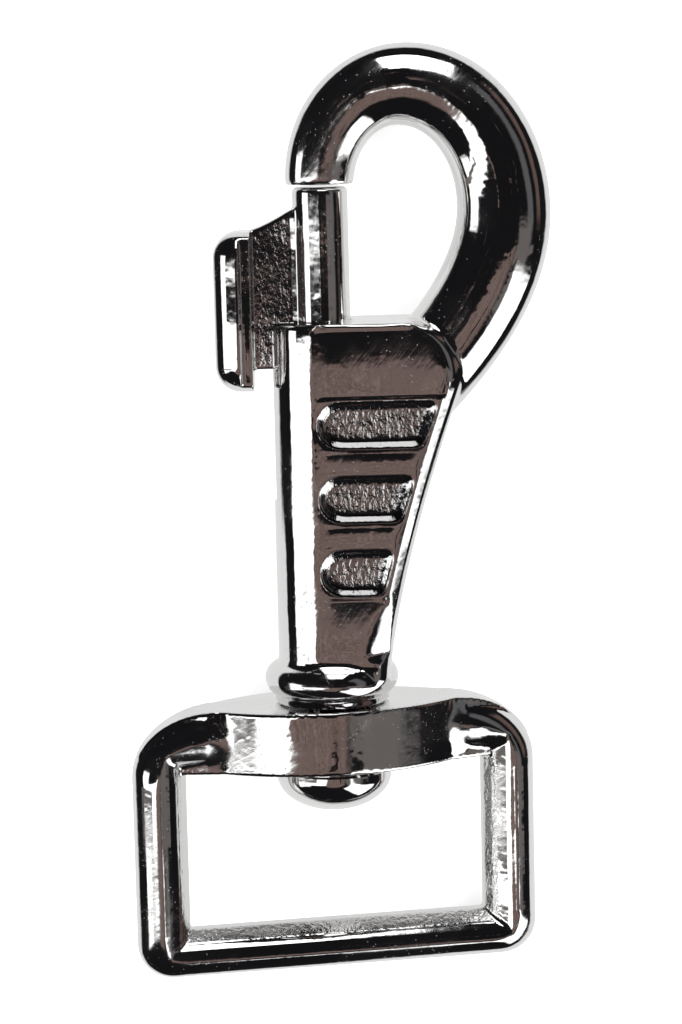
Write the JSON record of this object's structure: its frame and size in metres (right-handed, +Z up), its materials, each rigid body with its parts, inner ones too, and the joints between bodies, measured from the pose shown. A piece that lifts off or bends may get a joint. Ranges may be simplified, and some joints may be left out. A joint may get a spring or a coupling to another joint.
{
  "type": "swivel snap hook",
  "caption": "Chromed cast snap hook with a sprung thumb bolt closing its hooked end, a tapering ribbed body, and a flat strap loop that turns on a domed swivel rivet.",
  "frame": {"origin": "on the swivel axis, on the inner face of the strap loop's base bar, where the strap bears", "axes": "+Y along the swivel axis towards the hook, +X to the hook's closed side, +Z up out of the face that the picture shows"},
  "size_m": [0.0368, 0.0794, 0.0118],
  "materials": {
    "body_chrome": "polished",
    "bolt_chrome": "polished",
    "spring_steel": "satin",
    "loop_chrome": "polished",
    "rivet_chrome": "polished"
  },
  "bodies": {
    "hook": {"hook_body": "body_chrome", "swivel_rivet": "rivet_chrome", "bolt_spring": "spring_steel"},
    "sliding_bolt": {"bolt": "bolt_chrome"},
    "loop": {"strap_loop": "loop_chrome"}
  },
  "joints": [
    {"name": "bolt_slide", "type": "slide", "parent": "hook", "child": "sliding_bolt", "axis": [0, -1, 0], "range_m": [0, 0.011], "stiffness_N_per_m": 400, "springref_m": -0.0045, "deforming": ["bolt_spring"]},
    {"name": "loop_swivel", "type": "hinge", "parent": "hook", "child": "loop", "pos_m": [0, 0.0193, 0], "axis": [0, 1, 0], "continuous": true}
  ]
}
